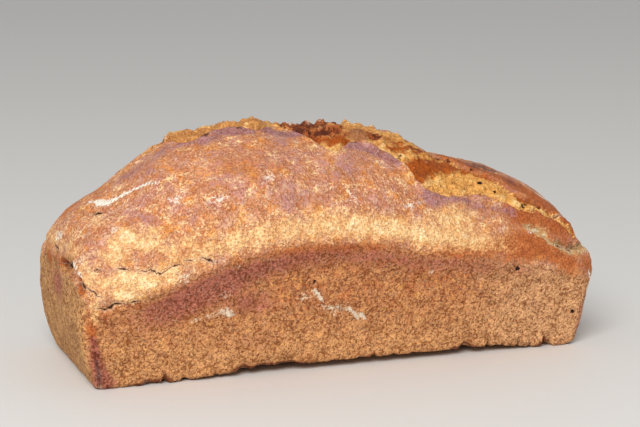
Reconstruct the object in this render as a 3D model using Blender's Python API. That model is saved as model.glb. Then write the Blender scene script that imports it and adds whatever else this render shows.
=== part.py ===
"""A sourdough loaf baked in a tapered loaf tin, as one closed solid.

Metres, +Z up, +X along the loaf, -Y towards the front. The origin is on the table, under the middle.
The loaf starts as a box divided into a grid. Each grid point is moved to the place that it has on the
loaf: onto the tin's leaning walls, or onto the dome that rose above them. Relief is added last.
"""

import bmesh
import bpy
import numpy as np
from mathutils import Vector, noise

MM = 0.001

# The tin's print on the loaf
BASE_LENGTH = 272 * MM
BASE_WIDTH = 97 * MM
LEFT_END_LEAN = 0.12
RIGHT_END_LEAN = 0.185
SIDE_LEAN = 0.17
LEFT_END_BOW = 4 * MM
RIGHT_END_BOW = 1.5 * MM
BASE_CORNER_RADIUS = 4.5 * MM
RIM_CORNER_RADIUS = 9 * MM
BASE_EDGE_RADIUS = 2.5 * MM

# The base is hollow between two flat feet
BASE_HOLLOW = 3.4 * MM
LEFT_FOOT_END = -112 * MM
RIGHT_FOOT_END = 122 * MM
LEFT_HOLLOW_RUN = 80 * MM
RIGHT_HOLLOW_RUN = 40 * MM

# Heights along the loaf, as (x, height): the ridge of the dome, and the line where it leaves the tin
RIDGE = (
    (-150 * MM, 86 * MM),
    (-138 * MM, 94.5 * MM),
    (-128 * MM, 99.5 * MM),
    (-117 * MM, 101 * MM),
    (-110 * MM, 104 * MM),
    (-98 * MM, 113 * MM),
    (-88 * MM, 118.3 * MM),
    (-78 * MM, 121.8 * MM),
    (-46 * MM, 125 * MM),
    (-14 * MM, 122 * MM),
    (14 * MM, 121 * MM),
    (42 * MM, 116 * MM),
    (72 * MM, 103.5 * MM),
    (108 * MM, 97.6 * MM),
    (128 * MM, 90.8 * MM),
    (150 * MM, 83 * MM),
)
TIN_LINE = (
    (-145 * MM, 44 * MM),
    (-115 * MM, 48 * MM),
    (-70 * MM, 64 * MM),
    (-15 * MM, 70 * MM),
    (48 * MM, 61 * MM),
    (100 * MM, 51 * MM),
    (145 * MM, 39 * MM),
)
LEFT_END_HEIGHT = 60 * MM
RIGHT_END_HEIGHT = 50 * MM
DOME_ROUNDNESS = 1.9
SHOULDER_ROUNDNESS = 3.6
SIDE_BULGE = 2.4 * MM
END_BULGE = 0.8 * MM

# The crack under the dome's edge on the left end, where the dome pulled off the wall
END_CRACK_DEPTH = 1.8 * MM
END_CRACK_MIDDLE = -8 * MM
END_CRACK_REACH = 44 * MM

# The long tear where the scored crust burst open, as (x, y) of its middle line and (x, half width)
TEAR_LINE = (
    (-110 * MM, 8 * MM),
    (-72 * MM, 2 * MM),
    (-40 * MM, 3 * MM),
    (-20 * MM, 2 * MM),
    (5 * MM, -8 * MM),
    (25 * MM, -10 * MM),
    (45 * MM, -22 * MM),
    (70 * MM, -31 * MM),
    (95 * MM, -39 * MM),
    (125 * MM, -40 * MM),
    (150 * MM, -43 * MM),
)
TEAR_HALF_WIDTH = (
    (-112 * MM, 0),
    (-80 * MM, 9 * MM),
    (-50 * MM, 9 * MM),
    (-24 * MM, 8 * MM),
    (5 * MM, 20 * MM),
    (25 * MM, 20 * MM),
    (45 * MM, 22 * MM),
    (70 * MM, 12 * MM),
    (95 * MM, 5 * MM),
    (120 * MM, 3 * MM),
    (146 * MM, 2 * MM),
)
# Half widths between which the tear goes from a closed seam to fully open
CLOSED_TEAR = 2 * MM
OPEN_TEAR = 9 * MM
LIP_HEIGHT = 1.6 * MM
CREVICE_DEPTH = 1.8 * MM
CRUMB_HEIGHT = 1.4 * MM
CRAG_HEIGHT = 2.2 * MM
CRAG_SIZE = 9 * MM

# Outcrops of torn crumb that stand highest, as (x, reach along the tear, height)
OUTCROPS = (
    (-78 * MM, 12 * MM, 2.0 * MM),
    (-45 * MM, 14 * MM, 1.5 * MM),
    (6 * MM, 12 * MM, 2.5 * MM),
    (26 * MM, 14 * MM, 2.0 * MM),
)

# Slow unevenness of hand-shaped dough
LUMP_SIZE = 38 * MM
DOME_LUMPS = 1.8 * MM
WALL_LUMPS = 0.7 * MM

# Bites out of the base's front edge, as (x, half width, depth)
EDGE_CHIPS = (
    (-112 * MM, 9 * MM, 2.0 * MM),
    (-42 * MM, 10 * MM, 3.0 * MM),
    (70 * MM, 4 * MM, 3.2 * MM),
    (84 * MM, 2.5 * MM, 2.4 * MM),
    (113 * MM, 3.5 * MM, 3.4 * MM),
)
CHIP_REACH = 6 * MM

# Grid of the box that becomes the loaf
CELLS_ALONG = 104
CELLS_ACROSS = 34
CELLS_UP = 8
NECK_SHARE = 0.93
TEAR_CROWDING = 2.2
TEAR_ZONE = 0.24
MOST_DRIFT = 0.6
PROFILE_SAMPLES = 2001


def through(keys, place):
    """Reads a smooth curve through key points, given as (place, value), at each place."""
    places, values = np.array(keys, float).T
    slopes = np.gradient(values, places)
    cell = np.clip(np.searchsorted(places, place) - 1, 0, len(places) - 2)
    step = places[cell + 1] - places[cell]
    t = np.clip((place - places[cell]) / step, 0, 1)
    rise = values[cell] * (1 + 2 * t) * (1 - t) ** 2 + values[cell + 1] * t * t * (3 - 2 * t)
    bend = slopes[cell] * t * (1 - t) ** 2 + slopes[cell + 1] * t * t * (t - 1)
    return rise + bend * step


def ease(t):
    """Goes smoothly from 0 to 1 as t does."""
    t = np.clip(t, 0, 1)
    return t * t * (3 - 2 * t)


def bump(t):
    """A smooth hump: 1 at t = 0, and 0 from |t| = 1 on."""
    return 1 - ease(np.abs(t))


def arc(t, roundness):
    """A superellipse's quarter: 1 at t = 0, falling steeply to 0 at |t| = 1."""
    return (1 - np.clip(np.abs(t), 0, 1) ** roundness) ** (1 / roundness)


def stations(height, spans, crowding=None):
    """Places from -1 to 1 for grid lines, an even distance apart along the profile height(t)."""
    t = np.linspace(-1, 1, PROFILE_SAMPLES)
    length = np.hypot(np.diff(t), np.diff(height(t)))
    if crowding is not None:
        length = length * crowding((t[1:] + t[:-1]) / 2)
    walked = np.concatenate([[0], np.cumsum(length)])
    found = np.interp(np.linspace(0, walked[-1], spans + 1), walked, t)
    found[0], found[-1] = -1, 1
    return found


def end_height(u):
    """Height of the dome's edge in the middle of the end wall that u is nearer to."""
    return np.where(u < 0, LEFT_END_HEIGHT, RIGHT_END_HEIGHT)


def end_lean(u):
    """Lean of the end wall that u is nearer to."""
    return np.where(u < 0, LEFT_END_LEAN, RIGHT_END_LEAN)


def dome_height(u, v):
    """Height of the loaf's upper surface. u and v go from -1 to 1 along and across it."""
    x = u * (BASE_LENGTH / 2 + end_lean(u) * end_height(u))
    shoulder = arc(u, SHOULDER_ROUNDNESS)
    crown = end_height(u) + (through(RIDGE, x) - end_height(u)) * shoulder
    side = through(TIN_LINE, x)
    return side + (crown - side) * arc(v, DOME_ROUNDNESS)


def base_height(x):
    """The base's own height over the table: nothing at its two feet."""
    left = ease((x - LEFT_FOOT_END) / LEFT_HOLLOW_RUN)
    right = ease((RIGHT_FOOT_END - x) / RIGHT_HOLLOW_RUN)
    return BASE_HOLLOW * left * right


def rounded_corners(x, y, half_length, half_width, radius):
    """Moves the points in the four corner squares of a rectangle onto quarter discs."""
    p = np.clip(1 - (half_length - np.abs(x)) / radius, 0, 1)
    q = np.clip(1 - (half_width - np.abs(y)) / radius, 0, 1)
    corner = (p > 0) & (q > 0)
    round_x = half_length - radius + radius * p * np.sqrt(1 - q * q / 2)
    round_y = half_width - radius + radius * q * np.sqrt(1 - p * p / 2)
    x = np.where(corner, np.sign(x) * round_x, x)
    y = np.where(corner, np.sign(y) * round_y, y)
    return x, y


def levels(step):
    """For a grid level, how far it is up the wall's straight part, and its rise and inset at the base edge."""
    share = np.clip((step - 2) / (CELLS_UP - 3), 0, 1) * NECK_SHARE
    share = np.where(step == CELLS_UP, 1, share)
    rise = BASE_EDGE_RADIUS * np.choose(np.minimum(step, 2), (0, 0.3, 1))
    inset = BASE_EDGE_RADIUS * np.choose(np.minimum(step, 2), (1, 0.3, 0))
    return share, rise, inset


def loaf_form(u, v, step):
    """The loaf's plain form, with no relief, for points of the box's shell."""
    share, rise, inset = levels(step)
    foot = base_height(u * BASE_LENGTH / 2)

    def height_at(along, across):
        top = dome_height(along, across)
        return foot + rise + (top - foot - rise) * share

    half_length = BASE_LENGTH / 2 + end_lean(u) * height_at(np.where(u < 0, -1.0, 1.0), v) - inset
    half_length += np.where(u < 0, LEFT_END_BOW, RIGHT_END_BOW) * 4 * share * (1 - share)
    half_width = BASE_WIDTH / 2 + SIDE_LEAN * height_at(u, np.where(v < 0, -1.0, 1.0)) - inset
    radius = BASE_CORNER_RADIUS + (RIM_CORNER_RADIUS - BASE_CORNER_RADIUS) * share
    x, y = rounded_corners(u * half_length, v * half_width, half_length, half_width, radius)
    z = height_at(u, v)
    on_top = step == CELLS_UP
    side_swell = np.where(on_top, (1 - arc(v, DOME_ROUNDNESS)) ** 2, ease((share - 0.7) / 0.3))
    end_swell = np.where(on_top, (1 - arc(u, SHOULDER_ROUNDNESS)) ** 2, ease((share - 0.86) / 0.14))
    y += v * SIDE_BULGE * side_swell * (1 - 0.6 * u**6)
    x += u * END_BULGE * end_swell
    in_crack = (step == CELLS_UP - 1) & (u == -1)
    x += in_crack * END_CRACK_DEPTH * ease(1.6 * bump((y - END_CRACK_MIDDLE) / END_CRACK_REACH))
    return np.stack([x, y, z], axis=-1)


def tear_frame(points):
    """Where points lie in the tear: 0 on its middle line and 1 at its lips, and the tear's strength there."""
    x, y = points[:, 0], points[:, 1]
    half_width = np.maximum(through(TEAR_HALF_WIDTH, x), CLOSED_TEAR)
    across = (y - through(TEAR_LINE, x)) / half_width
    strength = ease((half_width - CLOSED_TEAR) / (OPEN_TEAR - CLOSED_TEAR))
    strength = strength * ease((points[:, 2] - 50 * MM) / (15 * MM))
    return across, strength


def dough_noise(points, size, detail):
    """Blender's fractal noise at each point, for features of the given size."""
    return np.array([noise.fractal(Vector(p / size), 1.0, 2.0, detail) for p in points])


def tear_relief(points):
    """The tear: craggy crumb swells out between two lips of crust, past a crevice along each lip."""
    across, strength = tear_frame(points)
    lips = LIP_HEIGHT * (bump((across + 1.25) / 0.5) + bump((across - 1.25) / 0.5))
    crevices = CREVICE_DEPTH * (bump((across + 0.9) / 0.25) + bump((across - 0.9) / 0.25))
    crags = CRAG_HEIGHT * 2 * np.abs(dough_noise(points + CRAG_SIZE, CRAG_SIZE, 1)) - 0.4 * CRAG_HEIGHT
    outcrop = sum(height * bump((points[:, 0] - x) / reach) for x, reach, height in OUTCROPS)
    crumb = (CRUMB_HEIGHT + crags + outcrop) * (1 - ease((np.abs(across) - 0.45) / 0.4))
    return strength * (lips - crevices + crumb)


def chip_relief(points):
    """Crumbled bites along the base's front edge."""
    x, y, z = points.T
    near_edge = bump(z / (BASE_HOLLOW + CHIP_REACH)) * (y < 0)
    bites = sum(depth * bump((x - place) / half_width) for place, half_width, depth in EDGE_CHIPS)
    return -bites * near_edge


def relief(points, on_top):
    """How far each point moves out along its normal."""
    lumps = dough_noise(points, LUMP_SIZE, 2)
    uneven = np.where(on_top, DOME_LUMPS, WALL_LUMPS) * lumps
    clear_of_base = ease((points[:, 2] - BASE_HOLLOW - BASE_EDGE_RADIUS) / (8 * MM))
    return uneven * clear_of_base + tear_relief(points) + chip_relief(points)


def divided_box():
    """A cube whose faces are cut into the loaf's grid."""
    mesh = bmesh.new()
    bmesh.ops.create_cube(mesh, size=2)
    for axis, spans in enumerate((CELLS_ALONG, CELLS_ACROSS, CELLS_UP)):
        along = [e for e in mesh.edges if (e.verts[0].co - e.verts[1].co)[axis]]
        bmesh.ops.subdivide_edges(mesh, edges=along, cuts=spans - 1, use_grid_fill=True)
    return mesh


def place(mesh, points):
    for vert, point in zip(mesh.verts, points):
        vert.co = point
    mesh.normal_update()


def shape_loaf(mesh):
    """Moves the box's points to the loaf's surface."""
    cells = np.array([CELLS_ALONG, CELLS_ACROSS, CELLS_UP])
    box = np.array([vert.co for vert in mesh.verts], float)
    column, row, step = np.rint((box + 1) / 2 * cells).astype(int).T

    length_profile = stations(lambda u: dome_height(u, 0 * u) / (BASE_LENGTH / 2), CELLS_ALONG)
    width_profile = stations(
        lambda v: dome_height(0 * v, v) / (BASE_WIDTH / 2),
        CELLS_ACROSS,
        lambda v: 1 + TEAR_CROWDING * bump(v / TEAR_ZONE),
    )
    u, v = length_profile[column], width_profile[row]
    drift = np.clip(through(TEAR_LINE, u * BASE_LENGTH / 2) / (BASE_WIDTH / 2), -MOST_DRIFT, MOST_DRIFT)
    v = drift + v * (1 - np.sign(v) * drift)

    on_top = step == CELLS_UP
    points = loaf_form(u, v, step)
    place(mesh, points)
    normals = np.array([vert.normal for vert in mesh.verts], float)
    above_base = (step > 1)[:, None]
    points += above_base * normals * relief(points, on_top)[:, None]
    place(mesh, points)


def plain_base(mesh):
    """Takes the grid lines that run along the loaf out of its base, where they shape nothing."""
    under = [face for face in mesh.faces if face.normal.z < -0.99 and face.calc_center_median().z < 6 * MM]
    inner = {e for face in under for e in face.edges if all(f in under for f in e.link_faces)}
    level = [e for e in inner if abs((e.verts[0].co - e.verts[1].co).normalized().x) > 0.7]
    bmesh.ops.dissolve_edges(mesh, edges=level, use_verts=True)


def crust_material():
    material = bpy.data.materials.new("baked_crust")
    material.use_nodes = True
    shader = material.node_tree.nodes["Principled BSDF"]
    shader.inputs["Base Color"].default_value = (0.50, 0.22, 0.075, 1)
    shader.inputs["Roughness"].default_value = 0.72
    shader.inputs["Metallic"].default_value = 0
    return material


def build_loaf():
    mesh = divided_box()
    shape_loaf(mesh)
    plain_base(mesh)
    data = bpy.data.meshes.new("loaf")
    mesh.to_mesh(data)
    mesh.free()
    data.materials.append(crust_material())
    data.shade_smooth()
    loaf = bpy.data.objects.new("loaf", data)
    bpy.context.scene.collection.objects.link(loaf)
    return loaf


for old in list(bpy.data.objects):
    bpy.data.objects.remove(old)
build_loaf()
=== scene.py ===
# %% [markdown]
# # A sourdough loaf from a tin
#
# The loaf was baked in a long tin. The tin left straight, leaning walls with a dry, grainy skin. Above the
# tin the dough rose freely into a dome, and the scored crust burst open along the top. This lesson builds
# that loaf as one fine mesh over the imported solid, and gives it a crust that changes from place to place.

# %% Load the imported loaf
import math

import bmesh
import bpy
import numpy as np
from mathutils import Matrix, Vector, noise


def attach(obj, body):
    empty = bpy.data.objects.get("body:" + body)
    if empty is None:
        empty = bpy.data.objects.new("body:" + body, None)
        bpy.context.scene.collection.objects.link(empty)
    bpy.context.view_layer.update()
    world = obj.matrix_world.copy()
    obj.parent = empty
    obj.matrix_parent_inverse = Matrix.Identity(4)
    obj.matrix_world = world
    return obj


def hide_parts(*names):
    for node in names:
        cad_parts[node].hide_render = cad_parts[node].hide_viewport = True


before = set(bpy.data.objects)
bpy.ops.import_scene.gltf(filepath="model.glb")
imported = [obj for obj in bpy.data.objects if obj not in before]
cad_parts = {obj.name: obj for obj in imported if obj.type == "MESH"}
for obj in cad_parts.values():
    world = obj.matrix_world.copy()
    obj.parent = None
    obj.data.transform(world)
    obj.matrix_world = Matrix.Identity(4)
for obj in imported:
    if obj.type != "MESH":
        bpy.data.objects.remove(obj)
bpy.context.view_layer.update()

MM = 0.001

# %% [markdown]
# ## The tin's shape and the dome's lines
#
# A tin loaf can be drawn with few numbers: the base, how far each wall leans out, the line where the dough
# left the tin, and the ridge of the dome. They are the same values that the solid was built from, so the
# fine loaf lies exactly over it. Heights along the loaf are key points, and a smooth curve joins them.

# %% Sizes of the loaf
BASE_LENGTH = 272 * MM
BASE_WIDTH = 97 * MM
LEFT_END_LEAN = 0.12
RIGHT_END_LEAN = 0.185
SIDE_LEAN = 0.17
LEFT_END_BOW = 4 * MM
RIGHT_END_BOW = 1.5 * MM
BASE_CORNER_RADIUS = 4.5 * MM
RIM_CORNER_RADIUS = 9 * MM
BASE_EDGE_RADIUS = 2.5 * MM
BASE_HOLLOW = 3.4 * MM
LEFT_FOOT_END = -112 * MM
RIGHT_FOOT_END = 122 * MM
LEFT_HOLLOW_RUN = 80 * MM
RIGHT_HOLLOW_RUN = 40 * MM
LEFT_END_HEIGHT = 60 * MM
RIGHT_END_HEIGHT = 50 * MM
DOME_ROUNDNESS = 1.9
SHOULDER_ROUNDNESS = 3.6
SIDE_BULGE = 2.4 * MM
END_BULGE = 0.8 * MM

RIDGE = (
    (-150, 86), (-138, 94.5), (-128, 99.5), (-117, 101), (-110, 104), (-98, 113), (-88, 118.3),
    (-78, 121.8), (-46, 125), (-14, 122), (14, 121), (42, 116), (72, 103.5), (108, 97.6), (128, 90.8),
    (150, 83),
)
TIN_LINE = ((-145, 44), (-115, 48), (-70, 64), (-15, 70), (48, 61), (100, 51), (145, 39))


def through(keys, place):
    """Reads a smooth curve through key points in mm, given as (place, value), at each place in metres."""
    places, values = np.array(keys, float).T * MM
    slopes = np.gradient(values, places)
    cell = np.clip(np.searchsorted(places, place) - 1, 0, len(places) - 2)
    step = places[cell + 1] - places[cell]
    t = np.clip((place - places[cell]) / step, 0, 1)
    rise = values[cell] * (1 + 2 * t) * (1 - t) ** 2 + values[cell + 1] * t * t * (3 - 2 * t)
    bend = slopes[cell] * t * (1 - t) ** 2 + slopes[cell + 1] * t * t * (t - 1)
    return rise + bend * step


def ease(t):
    """Goes smoothly from 0 to 1 as t does."""
    t = np.clip(t, 0, 1)
    return t * t * (3 - 2 * t)


def bump(t):
    """A smooth hump: 1 at t = 0, and 0 from |t| = 1 on."""
    return 1 - ease(np.abs(t))


def arc(t, roundness):
    """A rounded shoulder: 1 at t = 0, falling steeply to 0 at |t| = 1."""
    return (1 - np.clip(np.abs(t), 0, 1) ** roundness) ** (1 / roundness)


print("ridge over the middle:", round(float(through(RIDGE, 0.0)) / MM, 1), "mm")

# %% [markdown]
# ## The dome, the walls and the hollow base
#
# u runs along the loaf and v across it, both from -1 to 1. The dome is an arch across the loaf, standing on
# the tin line, and a shoulder closes it at each end. The base dries and lifts a little in the middle, so it
# stands on two feet.

# %% The loaf's plain form
def end_value(u, left, right):
    return np.where(u < 0, left, right)


def dome_height(u, v):
    end_height = end_value(u, LEFT_END_HEIGHT, RIGHT_END_HEIGHT)
    lean = end_value(u, LEFT_END_LEAN, RIGHT_END_LEAN)
    x = u * (BASE_LENGTH / 2 + lean * end_height)
    crown = end_height + (through(RIDGE, x) - end_height) * arc(u, SHOULDER_ROUNDNESS)
    side = through(TIN_LINE, x)
    return side + (crown - side) * arc(v, DOME_ROUNDNESS)


def base_height(x):
    left = ease((x - LEFT_FOOT_END) / LEFT_HOLLOW_RUN)
    right = ease((RIGHT_FOOT_END - x) / RIGHT_HOLLOW_RUN)
    return BASE_HOLLOW * left * right


def rounded_corners(x, y, half_length, half_width, radius):
    """Moves points in the four corner squares of a rectangle onto quarter discs."""
    p = np.clip(1 - (half_length - np.abs(x)) / radius, 0, 1)
    q = np.clip(1 - (half_width - np.abs(y)) / radius, 0, 1)
    corner = (p > 0) & (q > 0)
    round_x = np.sign(x) * (half_length - radius + radius * p * np.sqrt(1 - q * q / 2))
    round_y = np.sign(y) * (half_width - radius + radius * q * np.sqrt(1 - p * p / 2))
    return np.where(corner, round_x, x), np.where(corner, round_y, y)


# %% [markdown]
# ## A box's grid becomes the loaf
#
# A loaf could be sculpted, or remeshed from blobs. Here a box is cut into a fine grid of squares, and each
# grid point is moved to its place on the loaf. That keeps the squares even, so the relief can be laid on
# point by point, and a point's grid place says whether it is dome or wall. The grid is finer near the tear.
# Under the loaf only a few rows are kept, closest at the edge, since the rest of the base is plain.

# %% Cut a box into the grid
CELLS_ALONG = 320
CELLS_ACROSS = 150
CELLS_UP = 42
EDGE_RINGS = 4
BASE_ROWS = (0, 1, 2, 4, 8, 14, 21, 28, 36)
BASE_LEVEL = -0.999
SAME_PLACE = 1e-4

box = bmesh.new()
bmesh.ops.create_cube(box, size=2)
for axis, spans in enumerate((CELLS_ALONG, CELLS_ACROSS, CELLS_UP)):
    crossed = [edge for edge in box.edges if (edge.verts[0].co - edge.verts[1].co)[axis]]
    bmesh.ops.subdivide_edges(box, edges=crossed, cuts=spans - 1, use_grid_fill=True)
kept_rows = [1 - 2 * row / CELLS_ACROSS for row in BASE_ROWS]


def is_spare(edge):
    """Whether an edge is under the loaf and runs along it, outside the kept rows."""
    start, end = (corner.co for corner in edge.verts)
    underneath = max(start.z, end.z) < BASE_LEVEL
    lengthwise = abs(start.x - end.x) > SAME_PLACE
    return underneath and lengthwise and min(abs(abs(start.y) - kept) for kept in kept_rows) > SAME_PLACE


spare = [edge for edge in box.edges if is_spare(edge)]
bmesh.ops.dissolve_edges(box, edges=spare, use_verts=True)
loaf_mesh = bpy.data.meshes.new("sourdough_loaf")
box.to_mesh(loaf_mesh)
box.free()
triangles = sum(len(face.vertices) - 2 for face in loaf_mesh.polygons)
print("grid:", len(loaf_mesh.vertices), "points,", triangles, "triangles")

# %% Space the grid's lines evenly over the crust
FINE_STEPS = 4001


def stations(height, spans, crowding):
    """Places from -1 to 1 that cut a curve into even lengths, and closer ones where it is crowded."""
    t = np.linspace(-1, 1, FINE_STEPS)
    length = np.hypot(np.diff(t), np.diff(height(t))) * crowding((t[1:] + t[:-1]) / 2)
    walked = np.concatenate([[0], np.cumsum(length)])
    found = np.interp(np.linspace(0, walked[-1], spans + 1), walked, t)
    found[0], found[-1] = -1, 1
    return found


def read_points(mesh, what="vertices"):
    """A mesh's points, or its point normals, as rows of x, y, z."""
    flat = np.empty(len(mesh.vertices) * 3)
    if what == "normals":
        mesh.vertex_normals.foreach_get("vector", flat)
    else:
        mesh.vertices.foreach_get("co", flat)
    return flat.reshape(-1, 3)


def write_points(mesh, points):
    mesh.vertices.foreach_set("co", points.ravel())
    mesh.update()


cells = np.array([CELLS_ALONG, CELLS_ACROSS, CELLS_UP])
column, row, ring = np.rint((read_points(loaf_mesh) + 1) / 2 * cells).astype(int).T

# %% [markdown]
# ## Where the crust tore
#
# The top was scored and burst open in the oven. The torn crumb lies between two lips of crust. Two lines of
# key points, seen from above, draw those lips. They wander, because a crust tears where it is weakest.

# %% The tear's two lips
FRONT_LIP = (
    (-112, 6), (-96, 5), (-85, 3), (-79, -7), (-72, -12), (-65, -8), (-55, -5), (-44, -7), (-37, -10),
    (-30, -5), (-24, 1), (-16, -7), (-10, -19), (-4, -30), (3, -31), (9, -25), (18, -23), (26, -28),
    (35, -35), (43, -45), (55, -46), (66, -44), (76, -41), (86, -41), (96, -43), (106, -44), (116, -41),
    (126, -42), (145, -46),
)
BACK_LIP = (
    (-112, 7), (-96, 10), (-80, 13), (-60, 14), (-40, 12), (-20, 12), (0, 18), (20, 17), (38, 6), (54, -3),
    (70, -13), (84, -22), (95, -30), (106, -36), (116, -36), (126, -38), (145, -43),
)
LIP_WANDER = 1.3 * MM
LIP_WANDER_SIZE = 5 * MM


def dough_noise(points, size, octaves):
    """Blender's fractal noise at each point, about -1 to 1, for features of the given size."""
    return np.array([noise.fractal(Vector(p / size), 1.0, 2.0, octaves) for p in points])


def tear_line(x):
    return (through(FRONT_LIP, x) + through(BACK_LIP, x)) / 2


# %% Put every grid point on the loaf
TEAR_CROWDING = 1.1
TEAR_ZONE = 0.32
MOST_DRIFT = 0.6
SIDE_SWELLS_FROM = 0.7
END_SWELLS_FROM = 0.86


def rim_swell(share, rise_from, near_edge):
    """How much of a bulge a point takes: rising to the rim below it, and fading over the dome above it."""
    return np.where(ring == CELLS_UP, near_edge**2, ease((share - rise_from) / (1 - rise_from)))


length_lines = stations(
    lambda u: dome_height(u, 0 * u) / (BASE_LENGTH / 2),
    CELLS_ALONG,
    lambda u: 1 + 0 * u,
)
width_lines = stations(
    lambda v: dome_height(0 * v, v) / (BASE_WIDTH / 2),
    CELLS_ACROSS,
    lambda v: 1 + TEAR_CROWDING * bump(v / TEAR_ZONE),
)
u, v = length_lines[column], width_lines[row]
drift = np.clip(tear_line(u * BASE_LENGTH / 2) / (BASE_WIDTH / 2), -MOST_DRIFT, MOST_DRIFT)
v = drift + v * (1 - np.sign(v) * drift)

turn = np.clip(ring / EDGE_RINGS, 0, 1) * math.pi / 2
edge_rise = BASE_EDGE_RADIUS * (1 - np.cos(turn))
edge_inset = BASE_EDGE_RADIUS * (1 - np.sin(turn))
share = np.clip((ring - EDGE_RINGS) / (CELLS_UP - EDGE_RINGS), 0, 1)
foot = base_height(u * BASE_LENGTH / 2)


def height_at(along, across):
    return foot + edge_rise + (dome_height(along, across) - foot - edge_rise) * share


lean = end_value(u, LEFT_END_LEAN, RIGHT_END_LEAN)
bow = end_value(u, LEFT_END_BOW, RIGHT_END_BOW) * 4 * share * (1 - share)
half_length = BASE_LENGTH / 2 + lean * height_at(end_value(u, -1.0, 1.0), v) + bow - edge_inset
half_width = BASE_WIDTH / 2 + SIDE_LEAN * height_at(u, end_value(v, -1.0, 1.0)) - edge_inset
radius = BASE_CORNER_RADIUS + (RIM_CORNER_RADIUS - BASE_CORNER_RADIUS) * share
x, y = rounded_corners(u * half_length, v * half_width, half_length, half_width, radius)
less_at_ends = 1 - 0.6 * u**6
y += v * SIDE_BULGE * rim_swell(share, SIDE_SWELLS_FROM, 1 - arc(v, DOME_ROUNDNESS)) * less_at_ends
x += u * END_BULGE * rim_swell(share, END_SWELLS_FROM, 1 - arc(u, SHOULDER_ROUNDNESS))
form = np.stack([x, y, height_at(u, v)], axis=-1)
write_points(loaf_mesh, form)
normals = read_points(loaf_mesh, "normals")
print("plain form, mm:", (form.min(0) / MM).round(1), (form.max(0) / MM).round(1))

# %% [markdown]
# ## Where a point is, in a baker's terms
#
# Finish and relief follow the same few places: how far a point is over the tin's rim, how far inside the
# tear, how near to a crack. Each is measured once here, in millimetres, and used by both.

# %% Measure each point's place
TEAR_LEFT_END = -112
TEAR_RIGHT_END = 144
TEAR_LOWEST = 46
OUTSIDE_TEAR = -40.0

x, y, z = form.T
on_dome = ring == CELLS_UP
side_rim = dome_height(u, end_value(v, -1.0, 1.0))
end_rim = dome_height(end_value(u, -1.0, 1.0), v)
over_side = np.hypot((1 - np.abs(v)) * BASE_WIDTH / 2, z - side_rim)
over_end = np.hypot((1 - np.abs(u)) * BASE_LENGTH / 2, z - end_rim)
over_rim = np.where(on_dome, np.minimum(over_side, over_end), z - dome_height(u, v)) / MM

wander = LIP_WANDER * dough_noise(form, LIP_WANDER_SIZE, 3)
past_front = (y + wander - through(FRONT_LIP, x)) / MM
past_back = (through(BACK_LIP, x) - y + wander) / MM
tear_reach = ease((x / MM - TEAR_LEFT_END) / 14) * ease((TEAR_RIGHT_END - x / MM) / 8)
tear_reach *= ease((z / MM - TEAR_LOWEST) / 8)
in_tear = np.where(on_dome, np.minimum(past_front, past_back), OUTSIDE_TEAR) - 6 * (1 - tear_reach)
print("points in the tear:", int((in_tear > 0).sum()))

# %% Measure distances over the skin
SKIN_SLACK = 5


def across_skin(offset):
    """Length of an offset in mm. SKIN_SLACK mm of its way into or out of the crust don't count."""
    outward = (offset * normals).sum(axis=1)
    along_skin = np.linalg.norm(offset - outward[:, None] * normals, axis=1)
    return np.hypot(along_skin, np.clip(np.abs(outward) - SKIN_SLACK, 0, None))


def near_path(path):
    """How far in mm each point is from a path of key points, how far along it, and how much above it."""
    gap, where, above = np.full(len(form), 1e3), np.zeros(len(form)), np.zeros(len(form))
    keys = np.array(path, float)
    for i, (start, end) in enumerate(zip(keys[:-1], keys[1:])):
        run = end - start
        t = np.clip(((form / MM - start) @ run) / (run @ run), 0, 1)
        offset = form / MM - start - t[:, None] * run
        away = across_skin(offset)
        nearer = away < gap
        gap = np.where(nearer, away, gap)
        where = np.where(nearer, (i + t) / (len(keys) - 1), where)
        above = np.where(nearer, offset[:, 2], above)
    return gap, where, above


# %% [markdown]
# ## Cracks and pores
#
# Beside the great tear the crust has small cracks: two broken lines on the front near the tall end, one
# round that end, and short ones elsewhere. A crevice runs over the low shoulder, and gas left round pores.
# Each crack is a path over the loaf, as a baker would draw it with a fingertip, that opens along its way.
# A crack is (path, width) in mm, and a pore is (x, y, z, size).

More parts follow.
